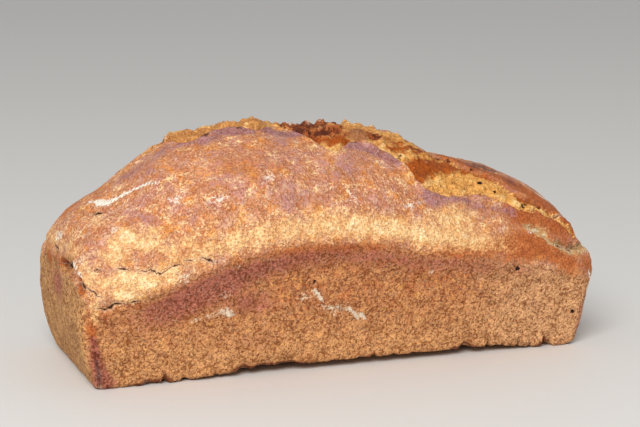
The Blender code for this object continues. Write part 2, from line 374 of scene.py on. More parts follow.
# %% Paths of the cracks
CRACKS = (
    (((-135.5, -47.5, 62.5), (-131, -49.4, 62.7)), 0.9),
    (((-124, -52, 63), (-119, -54, 63.2)), 1),
    (((-113, -56, 62), (-111, -56.8, 61.7), (-108.5, -57.1, 62.5), (-105.9, -58.6, 60.6),
      (-102.9, -59, 60.5), (-100.8, -58.8, 61.8), (-98.7, -59.1, 63.2)), 1.1),
    (((-97.5, -59.3, 63.6), (-93.5, -59.6, 64.3)), 0.9),
    (((-91, -60, 66), (-87.5, -60.3, 66.6)), 0.7),
    (((-83, -60.8, 67.2), (-80, -61.3, 66.4), (-77, -61.7, 64.9)), 0.7),
    (((-135.8, -55.1, 44.4), (-131.3, -56.6, 43.8), (-127.2, -56.9, 46.1), (-122.6, -57.9, 46)), 1.2),
    (((-119.6, -58.3, 46.2), (-115, -58.9, 47.2)), 1),
    (((-143, 7, 65.4), (-143, 4.4, 64.3), (-143.2, -1.5, 63.9)), 1),
    (((-143.2, -12, 58.6), (-143.2, -18, 59), (-143.1, -24, 60.4), (-142.8, -29, 61.3)), 3.6),
    (((-142, -33.5, 59.4), (-142, -37.8, 58.2)), 2),
    (((-141.8, -43.6, 56.2), (-141.4, -48, 53.6)), 2.6),
    (((-139.6, -50.8, 54), (-136.5, -54, 52), (-133.6, -56.2, 50)), 0.55),
    (((-129, -12, 86.2), (-126, -16.5, 85.6), (-123, -19.5, 86.4)), 2.4),
    (((-117.4, -5.5, 100), (-116.4, -8.5, 98.5)), 0.9),
    (((120.5, -52.8, 58.6), (124.5, -52.6, 57.3)), 1),
    (((128.6, -52.4, 55.6), (131.6, -52, 54.6)), 0.9),
    (((124, -40, 72), (132, -36, 69)), 0.5),
    (((-140, 26, 62), (-139, 38, 60), (-134, 48, 57)), 0.9),
    (((-98, 60, 60), (-86, 61, 62), (-76, 62, 63)), 0.9),
    (((34, 62, 61), (52, 62, 58)), 0.8),
)
SHOULDER_CREVICE = (
    (102, -50.5, 69), (108.5, -51, 67), (112.8, -51.5, 64.5), (115.3, -53, 60), (121.5, -52.2, 57.6),
    (127.5, -52.2, 54.8), (131.5, -50.8, 53.8), (136.2, -48.6, 54.2), (140.5, -46, 54.8), (144, -41, 55.2),
    (147, -34, 56), (147.5, -22, 57),
)
CREVICE_WIDTHS = (
    (0, 1.4), (0.12, 2.4), (0.24, 1.3), (0.38, 2.4), (0.54, 3), (0.7, 2.6), (0.85, 2.2), (1, 0.8),
)

crack_depth = np.zeros(len(form))
crack_side, crack_open = np.full(len(form), 6.0), np.zeros(len(form))
for path, width in CRACKS:
    gap, where, above = near_path(path)
    nearest = gap < np.abs(crack_side)
    at_tip = bump(np.minimum(where, 1 - where) * 2 - 1) ** 0.5
    past_tip = 1 - ease((gap - 1.5) / 4.5)
    crack_side = np.where(nearest, np.sign(above) * gap, crack_side)
    crack_open = np.where(nearest, width * at_tip * past_tip, crack_open)
    crack_depth = np.maximum(crack_depth, 1.3 * width * bump(gap / (1.2 + width)))
crevice_gap, crevice_where, over_crevice = near_path(SHOULDER_CREVICE)
crevice_width = np.interp(crevice_where, *zip(*CREVICE_WIDTHS))
crevice = np.clip(crevice_gap / crevice_width, 0, 4)
print("points in cracks:", int((crack_depth > 0.3).sum()))
print("points in the crevice:", int((crevice < 1).sum()))

# %% Places of the pores
PORES = (
    (94.5, -58.1, 48.1, 1.6), (82.4, -57.2, 46, 0.75), (132.1, -50, 19.9, 1.3), (64.6, -53.1, 30.6, 0.7),
    (56.4, -50.6, 19.1, 0.7), (90, -56, 41, 0.6), (110, -56, 39, 0.6), (-21.3, -56.9, 49.1, 1.2),
    (61.9, -44.1, 87.1, 1), (84.9, -30, 90.6, 1.1), (79.8, -35.9, 87.4, 0.9), (65.9, -35, 92.4, 0.7),
    (85.2, -13.7, 95.8, 1.1), (84, -18.8, 95, 1.5), (83.8, -29.9, 90, 1.2), (105.4, -40.7, 78.3, 1.3),
    (117.2, -36.7, 74.7, 1.4), (107.5, -38.8, 78.4, 0.9), (111.3, -37.2, 78.5, 0.8),
    (117.3, -36.5, 75.7, 1), (115.3, -36.7, 77, 0.7), (72, -38, 90, 0.9), (91, -36, 87, 1),
    (97, -38, 84, 0.8), (56, -41, 92, 0.8), (-91.4, -34, 103, 0.7), (-30, -56, 80, 0.5), (128, 40, 62, 0.9),
    (-60, 57, 44, 0.8), (20, 56, 52, 0.9), (75, 55, 38, 0.8), (147, 12, 44, 0.8), (-144, 20, 40, 0.6),
)
pore_gap = np.full(len(form), 4.0)
for px, py, pz, size in PORES:
    pore_gap = np.minimum(pore_gap, across_skin(form / MM - (px, py, pz)) / size)
print("points in pores:", int((pore_gap < 1).sum()))

# %% [markdown]
# ## Relief
#
# Relief is a distance in mm along each point's normal. Slow lumps come from the hand that shaped the dough,
# small blisters from steam, pits from the tin's dry contact. In the tear, a lip of crust stands up on each
# side, a crevice follows it, and crags of torn crumb swell up between. Outcrops are where the crumb rose
# highest, and one smooth lump among them was toasted brown. Small round crumbs sit on the crest. A crumb is
# (place along, place across, size) in mm, and an outcrop is (place along, reach, height).

# %% Round crumbs that stand on the crest
CREST_CRUMBS = (
    (-82, 3, 1.6), (-56, 6, 1.5), (-12.2, 7, 2.6), (-8, 11, 1.8), (-2.8, 5, 2), (5.8, 9, 2.5),
    (10, 12, 1.5), (14, 6, 1.4), (20.5, 9, 2.7), (26, 11, 1.8), (34.5, 5, 2.6), (39, 2, 1.6), (43, 0, 2),
    (48, -2, 2), (53, -5, 1.5), (58, -8, 1.4),
)
SCATTERED_CRUMBS = 90
SMALLEST_CRUMB, LARGEST_CRUMB = 0.9, 1.7
dice = np.random.default_rng(11)
torn = np.flatnonzero((in_tear > 1.5) & (np.abs(x / MM) < 96))
crumb_spots = []
for at, across, size in CREST_CRUMBS:
    nearest = np.argmin(np.hypot(x[torn] - at * MM, y[torn] - across * MM))
    crumb_spots.append((torn[nearest], size))
scattered = dice.choice(torn, SCATTERED_CRUMBS)
crumb_spots += [(spot, dice.uniform(SMALLEST_CRUMB, LARGEST_CRUMB)) for spot in scattered]
crumb_rise, crumb_tip = np.zeros(len(form)), np.zeros(len(form))
for i, (spot, size) in enumerate(crumb_spots):
    from_middle = np.linalg.norm(form - form[spot], axis=1) / (size * MM)
    dome_of_crumb = np.sqrt(np.clip(1 - from_middle**2, 0, 1))
    paleness = 1.0 if i < len(CREST_CRUMBS) else dice.uniform(-0.9, 0.45)
    crumb_rise = np.maximum(crumb_rise, 0.8 * size * dome_of_crumb)
    crumb_tip = np.maximum(crumb_tip, dome_of_crumb * paleness)
print("crumbs on the crest:", len(CREST_CRUMBS), "scattered:", SCATTERED_CRUMBS)

# %% Unevenness of every size
lumps = dough_noise(form, 38 * MM, 2)
ripples = dough_noise(form + 0.3, 11 * MM, 3)
blisters = dough_noise(form + 0.7, 3.6 * MM, 3)
grit = dough_noise(form + 1.1, 1.7 * MM, 2)
crags = np.abs(dough_noise(form + 1.7, 8 * MM, 4))
knobs = dough_noise(form + 2.3, 3.0 * MM, 3)
print("crags reach:", round(float(crags.max()), 2))

# %% Lay the relief on the dough
OUTCROPS = (
    (-80, 6, 1.5), (-72, 6, 1), (-50, 9, 2.2), (-35, 6, 1.6), (5.5, 7, 1.8), (20, 3.5, 1.2), (29, 5, 1.2),
    (45, 4, 0.8),
)
LIP_HEIGHTS = (
    (-150, 0.4), (-90, 0.7), (-60, 1), (-20, 1), (2, 1.2), (20, 2.6), (40, 1.4), (70, 1.8), (110, 1.4),
    (150, 0.6),
)
CRUMB_HEIGHTS = (
    (-150, 0.5), (-100, 0.8), (-78, 0.6), (-60, 0.8), (-45, 0.3), (-32, 2), (-20, 1.9), (-12, 1), (10, 0.4),
    (30, 1), (45, 0), (65, -0.6), (90, -0.5), (150, -0.5),
)
TOASTED_LUMP = (17, -20, 121)
LUMP_REACH = 9

relief = np.where(on_dome, 1.8, 0.7) * lumps * ease((z / MM - 6) / 8)
rough_dome = 0.55 * ripples + 0.32 * blisters + 0.16 * grit
relief += np.where(on_dome, rough_dome, 0.30 * ripples + 0.10 * blisters)

lip = through(LIP_HEIGHTS, x) / MM * bump((in_tear + 2.2) / 3.4) * (1 + 0.5 * ripples)
crevice_by_lip = 1.6 * bump((in_tear - 0.6) / 1.5)
outcrop = sum(height * bump((x / MM - at) / reach) for at, reach, height in OUTCROPS)
from_lump = np.linalg.norm((form / MM - TOASTED_LUMP) / LUMP_REACH, axis=1)
calm = 0.5 + 0.5 * ease((x / MM + 35) / 25)
crumb_height = through(CRUMB_HEIGHTS, x) / MM + outcrop + 3.0 * bump(from_lump)
crumb_height = crumb_height + 2.6 * crags - 0.6 + 0.8 * calm * knobs + crumb_rise
crumb = ease((in_tear - 0.5) / 3.2)
relief += tear_reach * on_dome * (lip - crevice_by_lip + crumb * crumb_height)

wall_pits = ease((-dough_noise(form * (1, 1, 1.5) + 3.1, 2.6 * MM, 2) - 0.28) / 0.3)
relief -= np.where(on_dome, 0.0, 0.45) * wall_pits
relief -= crack_depth + 1.3 * bump(crevice / 1.5) + 1.5 * bump(pore_gap / 1.7)
set_in = ease(over_crevice / 2) * bump(over_crevice / 13)
set_in = set_in * bump((crevice_gap - 6) / 9) * ease((x / MM - 118) / 16)
relief -= 2.0 * set_in * on_dome
print("relief, mm:", relief.min().round(1), "to", relief.max().round(1))

# %% [markdown]
# ## Broken places along the base
#
# The lower front edge is thin and dry, and bits of it broke away when the loaf was tipped out of the tin.
# A bite lifts the edge and draws it in. Each is (place along, half length, height, depth) in mm. Noise adds
# small crumbling everywhere along the edge, and under the loaf a bite soon runs out.

# %% Bite the lower edge
EDGE_CHIPS = (
    (-107, 6, 0.9, 1.4), (-99.5, 2.4, 2.6, 2), (-89, 3, 1, 1), (-57, 5, 1.6, 2.4), (-47, 8, 1.3, 2.2),
    (-34, 12, 1.1, 2), (15.5, 2.4, 1.2, 1.2), (27, 3, 0.6, 0.6), (-72, 2, 0.6, 0.6), (69, 5.5, 2.2, 2.2),
    (82.3, 1.3, 4.2, 2.2), (91.5, 1.1, 1.2, 1), (96.5, 1, 0.8, 0.8), (101, 1.3, 1.7, 1.3),
    (108, 1.8, 0.9, 0.9), (116.6, 1.9, 4.4, 2.8), (119.6, 3, 2.2, 2),
)
EDGE_HEIGHT = 9 * MM
BITE_UNDER = 6 * MM
CLEAR_OF_TABLE = 0.00002

crumble = np.clip(dough_noise(form * (1, 0.3, 0.3) + 4.3, 4.5 * MM, 3), 0, 1)
from_edge = (1 - np.abs(v)) * BASE_WIDTH / 2
by_edge = np.where(ring == 0, ease(1 - from_edge / BITE_UNDER), 1)
low_edge = bump((z - foot) / EDGE_HEIGHT) * by_edge
lift = 0.9 * crumble * low_edge
draw_in = 0.8 * crumble * low_edge
for at, reach, up, inward in EDGE_CHIPS:
    bite = bump((x / MM - at) / reach) * low_edge * (y < 0)
    lift, draw_in = lift + up * bite, draw_in + inward * bite

points = form + normals * (relief * (ring > 1) * MM)[:, None]
points[:, 1] -= np.sign(y) * draw_in * MM
points[:, 2] += lift * MM
points[:, 2] = np.maximum(points[:, 2], CLEAR_OF_TABLE)
write_points(loaf_mesh, points)
loaf_mesh.shade_smooth()
print("finished loaf, mm:", (points.min(0) / MM).round(1), (points.max(0) / MM).round(1))

# %% [markdown]
# ## The loaf as an object
#
# The fine loaf stands for the plain solid, which stays for collision. It rides on the same body.

# %% Make the object
def put_in_scene(name, data):
    made = bpy.data.objects.new(name, data)
    bpy.context.scene.collection.objects.link(made)
    return made


loaf = put_in_scene("sourdough_loaf", loaf_mesh)
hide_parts("loaf")
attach(loaf, "root")

# %% [markdown]
# ## The photo's view
#
# The camera stands where the photo was taken: about a metre away, to the left of the loaf's front, and a
# little above it. The place and the turn come from the three corners of the base that show.

# %% Camera
SENSOR_WIDTH = 36
HALF_VIEW = 10
CAMERA_PLACE = (-0.3335, -0.9182, 0.256)
CAMERA_AZIMUTH = 20.10
CAMERA_ELEVATION = 10.55


def look(azimuth, elevation):
    """Turn of a camera that looks along an azimuth, clockwise from +Y, and down by an elevation."""
    return (math.radians(90 - elevation), 0, math.radians(-azimuth))


camera_data = bpy.data.cameras.new("view_of_the_loaf")
camera_data.sensor_width = SENSOR_WIDTH
camera_data.lens = SENSOR_WIDTH / 2 / math.tan(math.radians(HALF_VIEW))
camera = put_in_scene("view_of_the_loaf", camera_data)
camera.location = CAMERA_PLACE
camera.rotation_euler = look(CAMERA_AZIMUTH, CAMERA_ELEVATION)
bpy.context.scene.camera = camera
print("lens, mm:", round(camera_data.lens, 1))

# %% [markdown]
# ## Where the oven browned it, and where light and shade are painted
#
# Bread's colour follows heat and flour. The dome's lower edge is pale gold, partly a painted highlight
# where it faces the light, the crust under the rim and on the near corner went purple brown, under the rim
# partly painted shade, the torn crumb is golden, and its highest crags burnt. Painted shade also lies in
# the crumb's clefts, behind the lips, on the far crown, in cracks and pores and under the broken lower
# edge, and painted highlight on the crag tops and crack rims. Each tone is a mask painted on the points:
# soft patches where they lie on this loaf, and bands that follow the rim.
# The brushes are given in mm on the loaf. Past the tear they are guesses that carry on what shows.

# %% Brushes for the masks
def patches(spots):
    """Soft patches on the crust. A spot is (x, y, z, reach x, reach y, reach z, strength), in mm."""
    mask = np.zeros(len(form))
    for sx, sy, sz, rx, ry, rz, strength in spots:
        away = np.sqrt(((x / MM - sx) / rx) ** 2 + ((y / MM - sy) / ry) ** 2 + ((z / MM - sz) / rz) ** 2)
        mask = np.maximum(mask, strength * bump(away))
    return mask


def streaks(paths):
    """Streaks along paths. A streak is (path, half width at its start, at its end, strength), in mm."""
    mask = np.zeros(len(form))
    for path, start, end, strength in paths:
        gap, where, _ = near_path(path)
        mask = np.maximum(mask, strength * np.clip(1.5 - gap / (start + (end - start) * where), 0, 1.5))
    return mask


def along(keys):
    """A value that changes along the loaf, through key points of (x in mm, value)."""
    return through(keys, x) / MM


# %% Gold: the dome's lower edge and the swollen crust at the tall end, partly a painted highlight where they face the light
LIT_GOLD_BAND = (
    (-145, 0.5), (-95, 0.6), (-60, 0.65), (-30, 0.75), (0, 0.85), (30, 0.88), (62, 0.88), (80, 0.5),
    (95, 0.1), (145, 0.1),
)
GOLD_AND_HIGHLIGHT_SPOTS = (
    (-112, -46, 75, 25, 30, 11, 0.8), (-117, -43, 77, 10, 30, 6, 1.35), (-109, -49, 73.5, 13, 30, 5, 1.35),
    (-122, -42, 73, 8, 30, 5, 1.1), (-104, -46, 80, 8, 20, 4, 0.95), (-98, -53, 71, 14, 30, 5, 0.9),
    (-124, -44, 68, 17, 30, 8, 0.9), (-88, -57, 74, 13, 20, 7, 0.7), (-119, -57, 56, 28, 30, 10, 0.85),
    (-131, -54, 57, 9, 30, 6, 1), (-109, -59, 55, 12, 30, 6, 1), (-98, -60, 58, 10, 30, 5, 0.9),
    (-121, -56, 60, 10, 30, 3, 1), (-120, -57, 51, 24, 30, 8, 0.9), (-137, -54, 42, 4, 20, 10, 0.9),
    (-137, -55, 45, 5, 20, 9, 0.7), (57, -54, 77.5, 28, 30, 10, 0.8), (-62, -55, 84, 20, 20, 8, 0.4),
    (-126, -20, 84, 14, 30, 10, 0.4), (112, -50, 66, 9, 20, 5, 0.7), (-100, 50, 76, 30, 30, 9, 0.7),
    (90, 48, 72, 30, 30, 9, 0.6), (-92, -8, 108, 12, 12, 6, 0.4), (-11, -28, 116.5, 9, 8, 4, 0.7),
    (-1, -34, 113, 9, 7, 3.5, 0.75), (37, -44, 101, 6, 8, 7, 0.5),
)
GOLD_MIDDLE = 9
GOLD_REACH_UP = 13
GOLD_REACH_DOWN = 11.5

sides = np.abs(v) > np.abs(u) * 0.98
gold_reach = np.where(over_rim > GOLD_MIDDLE, GOLD_REACH_UP, GOLD_REACH_DOWN)
lit_gold_band = along(LIT_GOLD_BAND) * bump((over_rim - GOLD_MIDDLE) / gold_reach) * on_dome
gold = np.maximum(patches(GOLD_AND_HIGHLIGHT_SPOTS), lit_gold_band)

# %% Purple brown: the band under the rim, partly painted shade under the dome's overhang, the patch at its left end, and the scorched corner
BAND_STRENGTH = (
    (-145, 0.1), (-118, 0.25), (-104, 0.85), (-75, 1), (-50, 0.95), (-20, 0.86), (20, 0.7), (60, 0.72),
    (85, 0.95), (100, 0.75), (115, 0.22), (145, 0.2),
)
BAND_BOTTOM = (
    (-145, -20), (-104, -26), (-72, -28), (-50, -22), (-20, -18), (50, -17), (80, -13), (145, -9),
)
DARK_SPOTS = (
    (-88, -55, 44, 27, 20, 14, 0.95), (-57, -55, 41, 24, 20, 12, 0.75), (-52, -52, 20, 26, 20, 9, 0.3),
    (-144, -4, 47, 13, 22, 14, 0.95), (-100, 55, 46, 30, 20, 12, 0.8),
)
CORNER_STREAK = (
    (((-137.5, -53, 27), (-135.5, -51.5, 16), (-133.5, -50.5, 8), (-131.5, -49, 2)), 2, 5.5, 1.2),
    (((139, -52, 24), (137, -50, 8)), 2.5, 3, 0.4),
    (((-140, 52, 24), (-137, 50, 6)), 3, 4, 0.5),
)
# The band's purple brown is partly painted shade, where the wall faces down under the dome.
band_edge = ease((0.7 - over_rim) / 8) * ease((over_rim - along(BAND_BOTTOM)) / 14)
dark = along(BAND_STRENGTH) * band_edge * np.where(sides, 1.0, 0.45)
dark = np.maximum(np.maximum(dark, patches(DARK_SPOTS)), streaks(CORNER_STREAK))

# %% Mauve bloom on the lips, and red brown where the crust is thin
MAUVE_LIPS = (
    (((-107, -5, 102), (-98, -11, 107), (-90, -11, 112), (-84, -6, 114)), 6, 7, 0.55),
    (((-79, -10, 117), (-69, -16, 119), (-61, -15, 121)), 3.5, 4.5, 0.75),
    (((-57, -10, 122), (-49, -11, 123), (-42, -11, 123)), 4.5, 4.5, 1.2),
    (((-32, -10, 122), (-24, -13, 121), (-15, -12, 121)), 5, 4, 1.25),
    (((6, -29, 115), (12, -28, 115), (22, -31, 111), (32, -36, 108)), 3.2, 3.6, 1),
    (((44, -50, 89.5), (58, -48.5, 87.5), (71, -46, 83.5)), 4, 2, 0.7),
    (((68, -47, 82), (83, -46, 79), (97, -46.5, 76)), 2.8, 3.4, 0.5),
)
MAUVE_SPOTS = (
    (50, -51.5, 86, 18, 9, 7, 0.85), (82, -49, 78, 20, 8, 6, 0.4), (-27, -22, 118, 18, 16, 10, 0.5),
    (-97, -20, 105, 17, 15, 9, 0.6), (-84, -18, 112, 12, 12, 8, 0.5), (8, -36, 110, 20, 16, 10, 0.6),
    (-60, -30, 112, 30, 14, 10, 0.4), (60, -53, 80, 40, 10, 8, 0.3), (-123, -57, 52.5, 4.5, 12, 2.6, 0.6),
    (-116.5, -58, 55.5, 3.5, 12, 2, 0.5), (-34, -56, 94, 24, 30, 12, 0.5), (2, -44, 104, 24, 20, 10, 0.6),
    (-60, 18, 120, 50, 12, 9, 0.7), (20, 20, 116, 40, 12, 9, 0.7), (100, -2, 92, 30, 9, 8, 0.6),
    (100, 10, 90, 30, 20, 9, 0.5), (-70, -40, 100, 20, 30, 8, 0.4), (-108, -40, 86, 8, 9, 5, 0.7),
    (-104, -45, 83, 7, 9, 5, 0.6),
)
RED_BELTS = (
    (((72, -8, 101), (86, -16, 97), (100, -24, 92), (116, -30, 82), (132, -32, 73)), 4.5, 8, 1.2),
    (((98, -46, 76), (108, -46, 73), (118, -46, 68), (130, -42, 66), (140, -34, 64)), 7, 8, 1),
    (((-143, -8, 59), (-143, -18, 59)), 1.6, 1.6, 1.2),
    (((-141.8, -43, 56.5), (-141.4, -48.5, 53)), 1.5, 2.4, 1.5),
    (((-142, -35, 58), (-142, -38, 57.5)), 1.4, 1.4, 1.3),
    (((-129, -12, 85.6), (-123, -19.5, 85.6)), 1.6, 1.2, 1.1),
    (((54, -61, 62), (70, -61, 61), (84, -59, 61), (98, -58, 59), (112, -56, 57),
      (126, -53, 49)), 4, 6, 0.85),
)
RED_SPOTS = (
    (-144.5, 16, 57, 5, 10, 8, 0.9), (98, -57, 60, 29, 20, 12, 1.5), (130, -48, 66, 24, 25, 16, 0.8),
    (76, -58, 59, 18, 20, 6, 0.9), (104, -30, 90, 34, 18, 12, 0.8), (-138, -54.5, 34, 3.6, 20, 14, 1.2),
    (-136.5, -53, 20, 3.6, 20, 12, 0.8), (-52, -40, 110, 30, 30, 11, 0.35), (-12, -60, 67, 66, 20, 5, 0.8),
    (120, 30, 76, 30, 40, 14, 0.7), (-130, 20, 84, 20, 30, 14, 0.5), (-144, -10, 61, 10, 40, 8, 0.5),
    (138, -52, 46, 14, 14, 12, 0.8), (122, -38, 76, 22, 14, 10, 1.1), (104, -46, 74, 12, 9, 8, 0.8),
    (134, -30, 70, 16, 20, 12, 0.9),
)
mauve = np.maximum(patches(MAUVE_SPOTS), streaks(MAUVE_LIPS))
red = np.maximum(patches(RED_SPOTS), streaks(RED_BELTS))

# %% Scorched crags, rust, painted shade behind the lips, and painted shade on the far crown
BURNT_RIDGES = (
    (((-13, 0, 123), (0, -3, 125), (9, -7, 125)), 5.5, 5, 0.9),
    (((-14, 6, 124), (0, 6, 125), (11, 4, 125)), 6, 5, 0.9),
    (((-13, -9, 122), (-6, -15, 121), (4, -15, 123)), 6.5, 6, 0.95),
    (((9, -20, 119), (13, -17, 122)), 1.6, 1.6, 0.7),
    (((24, -18, 119), (29, -19, 117)), 3, 2.4, 0.9),
    (((50, -14, 108), (62, -13, 105), (80, -12, 99)), 2.4, 2.4, 0.8),
    (((80, -16, 98), (90, -19, 96), (100, -24, 91)), 2.2, 2.2, 0.6),
)
RUSTY_RIDGES = (
    (((37, -20, 113), (46, -20, 111), (54, -17, 108), (62, -19, 104)), 8, 6, 0.34),
    (((42, -39, 100), (51, -32, 102), (60, -25, 101), (70, -21, 99)), 7, 5, 0.95),
    (((33, -28, 114), (42, -25, 112), (50, -22, 108)), 3.5, 3, 0.6),
    (((-12, -20, 120), (0, -25, 119), (8, -24, 120)), 4, 3.5, 0.8),
    (((72, -20, 98), (84, -22, 96), (92, -27, 92)), 3, 2.4, 0.6),
    (((106, -36, 81), (116, -34, 79)), 4, 4, 0.7),
)
SHADE_BEHIND_LIPS_SPOTS = (
    (-65.7, -10, 121.5, 5, 4, 4, 1.2), (-47, -9, 124, 5, 3, 3, 0.7), (7, -27, 118.5, 4, 4, 4, 1.2),
    (12, -25, 116.7, 5, 3, 3, 1.2), (21, -22.5, 119, 5, 4, 3, 1.1), (35, -33.6, 108, 3, 3, 3, 0.7),
    (73, -10, 101, 9, 3, 3, 0.9), (110, -38, 79, 5, 3, 2.5, 0.6), (-74, -10, 119, 5, 3, 3, 0.6),
)
SCORCHED_CORNER = (
    (((-136.6, -52.5, 20), (-135, -51.2, 12), (-134, -50.3, 4)), 0.9, 2, 0.9),
)
# The far crown is painted dark as shade, where it faces away from the light.
SHADED_FAR_CROWN = (
    (96, -8, 96, 24, 13, 8, 1.3), (109, -22, 89, 13, 10, 8, 0.7), (76, -6, 102, 12, 8, 5, 1),
)

burnt = streaks(BURNT_RIDGES)
rust = streaks(RUSTY_RIDGES)
shade_behind_lips = patches(SHADE_BEHIND_LIPS_SPOTS)
# This mask holds the scorched corner and the painted shade of the far crown.
scorch_and_shade = np.maximum(streaks(SCORCHED_CORNER), patches(SHADED_FAR_CROWN))
toasted = ease(1.5 - from_lump * 1.5)

# %% Flour
FLOUR_STREAKS = (
    (((-127, -4, 88.6), (-123, -11, 90.4), (-120.5, -14.5, 91.4)), 1.1, 1.9, 0.85),
    (((-123.5, -11.8, 90.2), (-120.2, -15.8, 91.3)), 2.5, 2.8, 1.2),
    (((-120.5, -15, 91.3), (-116, -18.8, 94), (-111.4, -20.2, 96.8)), 1.2, 1.1, 1.2),
    (((-111.4, -20.2, 96.8), (-105.6, -22.6, 98.9), (-100, -25.8, 100.6),
      (-95.4, -30.2, 101)), 1.1, 0.7, 1.25),
    (((-20.5, -56, 44.6), (-18.3, -55.5, 41.4), (-16.8, -55, 39.2)), 1.5, 1.1, 1.15),
    (((-16.5, -54.6, 36), (-13.5, -54.5, 35)), 1.2, 0.9, 0.8),
    (((-12.5, -54.3, 34.7), (-6, -54, 33.8), (-0.5, -54, 32.6)), 1.2, 1.5, 0.72),
    (((0, -54, 32.3), (2.6, -53.4, 29.4), (3.6, -52.9, 27)), 1.2, 0.9, 1.1),
    (((6.3, -53.3, 28.8), (7.8, -53, 27.6)), 1.3, 1.1, 1),
    (((-129.6, -13, 84.6), (-124.5, -20, 84.8)), 0.8, 0.8, 0.8),
    (((141, -55, 42), (142, -53.5, 35), (141, -52, 30)), 1.4, 1.6, 1),
    (((-142, -32, 64), (-141.6, -40, 61), (-141, -45, 59)), 1.6, 1.3, 0.62),
    (((110, -11, 90), (114, -14, 88), (119, -18, 84.5), (127, -20, 79), (132, -21, 75)), 1.4, 1.2, 0.75),
)
FLOUR_SPOTS = (
    (-70, -55, 36.5, 12, 20, 5, 0.68), (-69.5, -57, 46, 6, 20, 4, 0.68), (-92, -58, 57, 6, 20, 5, 0.45),
    (-63, -60, 60, 6, 20, 5, 0.4), (-84, -54, 34, 7, 20, 2.8, 0.5), (-78, -54, 35, 5, 20, 3, 0.42),
    (-27, -56, 42, 9, 20, 6, 0.42), (-10, -54, 33, 22, 20, 8, 0.42), (-69.7, -50.7, 94, 9, 20, 6, 0.6),
    (-141, -37, 65, 7, 8, 5, 0.8), (-142, 0, 71, 7, 9, 5, 0.8), (-134, -49, 1, 4, 4, 3, 0.8),
    (-91, -40, 94, 8, 20, 5, 0.36), (-42, -48, 103, 8, 20, 6, 0.45), (-124, -40, 80, 9, 20, 4, 0.5),
    (105, -51, 67, 6, 9, 3, 0.4), (60, 56, 40, 12, 10, 6, 0.6), (-40, 58, 60, 16, 10, 4, 0.5),
    (30, 40, 108, 22, 12, 8, 0.5), (72, -57, 45, 5, 10, 4, 0.5), (44, -55, 50, 4, 10, 3, 0.5),
    (96, -55, 36, 6, 10, 3, 0.5), (35, -52, 86, 14, 9, 5, 0.45), (-3, -53, 91, 14, 9, 8, 0.4),
)
flour = np.maximum(streaks(FLOUR_STREAKS), patches(FLOUR_SPOTS))

# %% Raw brown crumb where the lower edge broke, with painted shade under the lifted edge and in the torn hollows
RAW_AND_SHADED_EDGES = (
    (((-62, -49, 2), (-54, -49, 2), (-42, -49, 2), (-24, -49, 2)), 3.4, 2.6, 1),
    (((-114, -49, 0), (-108, -49, 0), (-98, -49, 0.6)), 2.4, 2.6, 1),
    (((62, -49, 2.5), (75, -49, 2.5)), 2.2, 2.2, 0.9),
    (((114, -48, 1), (118, -48, 1)), 2.6, 2.4, 0.9),
    (((10, -49, 2), (17, -49, 2)), 1.8, 2, 0.8),
)
TORN_HOLLOWS = (
    (((-143, -10, 59), (-142.5, -17, 59)), 1.8, 1.8, 0.9),
    (((-141.6, -43, 56), (-141.5, -47.6, 53)), 1, 1.2, 0.9),
    (((-142.3, -35, 59), (-142.3, -39, 58)), 1, 1, 0.8),
    (((-143, 6, 65), (-143, 0, 64)), 1.2, 1.2, 0.8),
)
raw_crumb_and_shade = streaks(RAW_AND_SHADED_EDGES + TORN_HOLLOWS) * by_edge

# %% Store the masks on the mesh
end_wall = np.where(sides | on_dome, 0.0, 1.0)
MASKS = {
    "over_rim": over_rim, "in_tear": in_tear, "height_up": z / MM, "end_wall": end_wall, "along": x / MM,
    "gold": gold, "dark": dark, "mauve": mauve, "red": red, "burnt": burnt, "rust": rust, "shade_behind_lips": shade_behind_lips,
    "scorch_and_shade": scorch_and_shade, "toasted": toasted, "flour": flour, "crumb_tip": crumb_tip, "crag": crags,
    "raw_crumb_and_shade": raw_crumb_and_shade, "over_crevice": over_crevice, "crack_side": crack_side, "crack_open": crack_open,
    "pore_gap": pore_gap, "crevice": crevice,
}
for name, mask in MASKS.items():
    loaf_mesh.attributes.new(name, "FLOAT", "POINT").data.foreach_set("value", mask.astype(np.float32))
print("masks:", {name: round(float(mask.mean()), 2) for name, mask in MASKS.items()})

# %% [markdown]
# ## Helpers for the finish
#
# A finish is a chain of nodes. Most of its links are of a few kinds: a number worked out from two others, a
# number faded between two limits, a noise, and a colour tinted with another one where a mask says so.

# %% Node helpers
def place(tree, kind, inputs=None, **settings):
    """Adds a node. Its inputs get plain values, or links where a value is another node's output."""
    made = tree.nodes.new(kind)
    for name, value in settings.items():
        setattr(made, name, value)
    for key, value in (inputs or {}).items():
        if isinstance(value, bpy.types.NodeSocket):
            tree.links.new(value, made.inputs[key])
        else:
            made.inputs[key].default_value = value
    return made


def calc(tree, how, first, second=0.0):
    """Works out one number from two."""
    return place(tree, "ShaderNodeMath", {0: first, 1: second}, operation=how).outputs[0]


def fade(tree, value, low, high):
    """0 below low and 1 above high, or the other way round where low is the higher."""
    limits = {"Value": value, "From Min": low, "From Max": high}
    return place(tree, "ShaderNodeMapRange", limits, interpolation_type="SMOOTHSTEP").outputs[0]


def tint(tree, base, colour, mask, blend="MIX"):
    """Mixes a colour over a base. In this node the colour sockets are numbers 6 and 7."""
    base, colour = (hue if isinstance(hue, bpy.types.NodeSocket) else (*hue, 1) for hue in (base, colour))
    inputs = {0: mask, 6: base, 7: colour}
    return place(tree, "ShaderNodeMix", inputs, data_type="RGBA", blend_type=blend).outputs[2]


def shifted(tree, point, shift):
    """The same point moved, so that two noises of one size don't fall together."""
    inputs = {0: point, 1: (shift, shift, shift)}
    return place(tree, "ShaderNodeVectorMath", inputs, operation="ADD").outputs[0]


